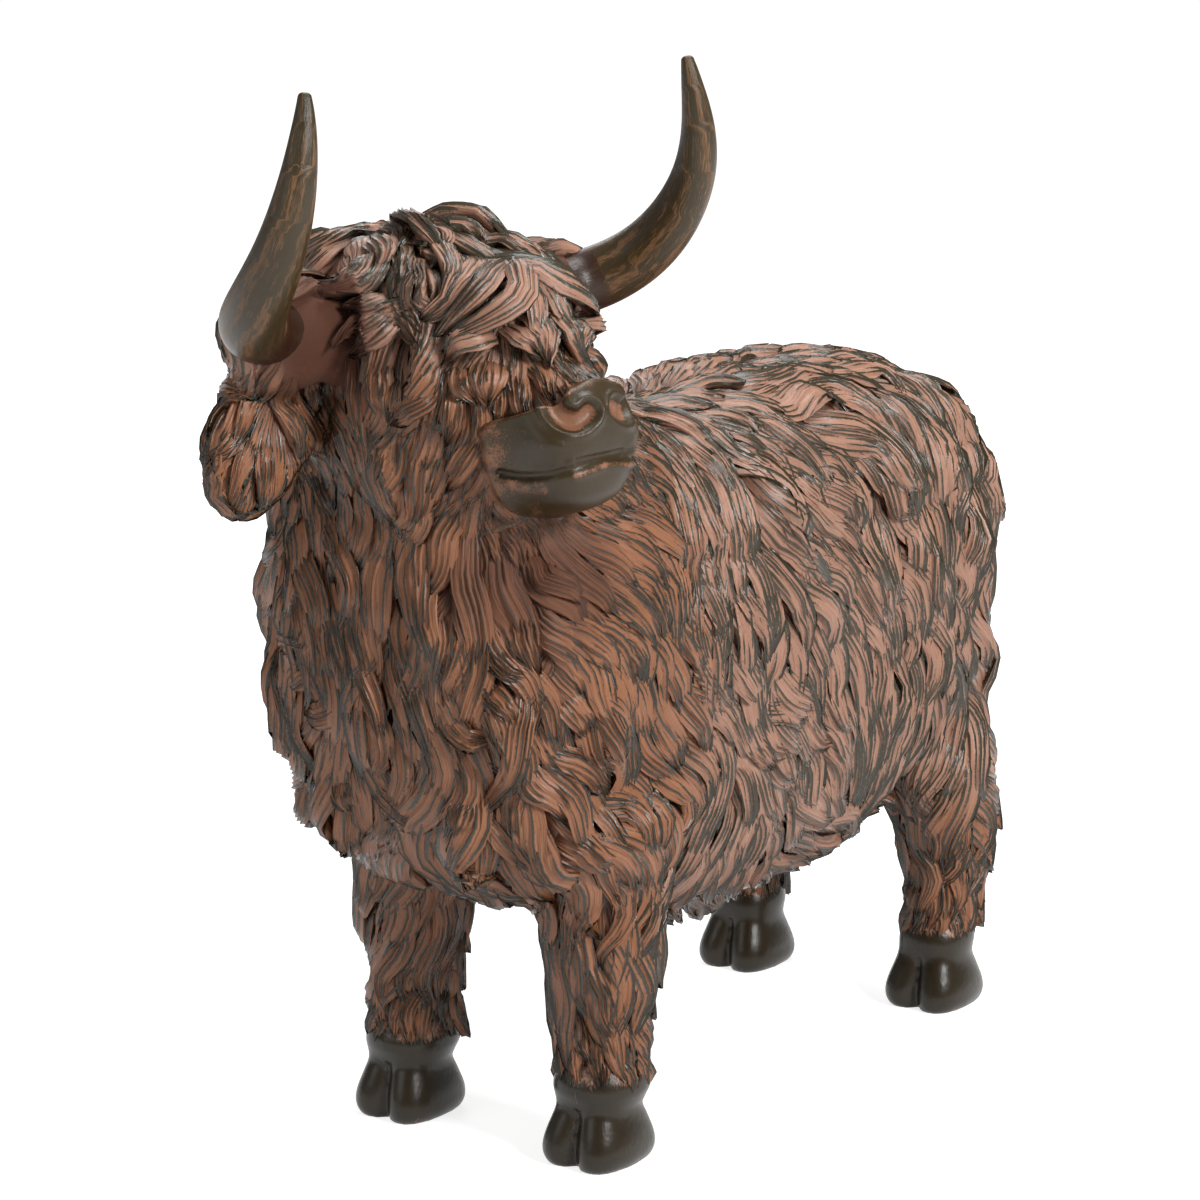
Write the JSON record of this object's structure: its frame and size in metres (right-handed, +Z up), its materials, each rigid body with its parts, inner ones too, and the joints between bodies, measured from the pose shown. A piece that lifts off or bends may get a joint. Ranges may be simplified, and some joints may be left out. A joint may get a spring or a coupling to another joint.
{
  "type": "cow figurine",
  "caption": "Standing long-haired highland cow ornament, cast hollow, with its head turned to its left and two upswept horns",
  "frame": {"origin": "on the floor, under the middle of the ornament's bounding box", "axes": "the body faces -Y, the cow's left side is +X, +Z is up; the head looks to +X"},
  "size_m": [0.1388, 0.3504, 0.3311],
  "materials": {
    "painted_resin": "hand-painted resin, terracotta pink with dark olive strands, satin",
    "horn_resin": "hand-painted resin, dark olive brown, semi-gloss",
    "plug_resin": "plain resin, matt",
    "pin_steel": "plain steel"
  },
  "bodies": {
    "root": {"body_casting": "painted_resin", "belly_plug": "plug_resin", "head_casting": "painted_resin", "horn_left": "horn_resin", "horn_right": "horn_resin", "horn_pins": "pin_steel"}
  },
  "joints": []
}
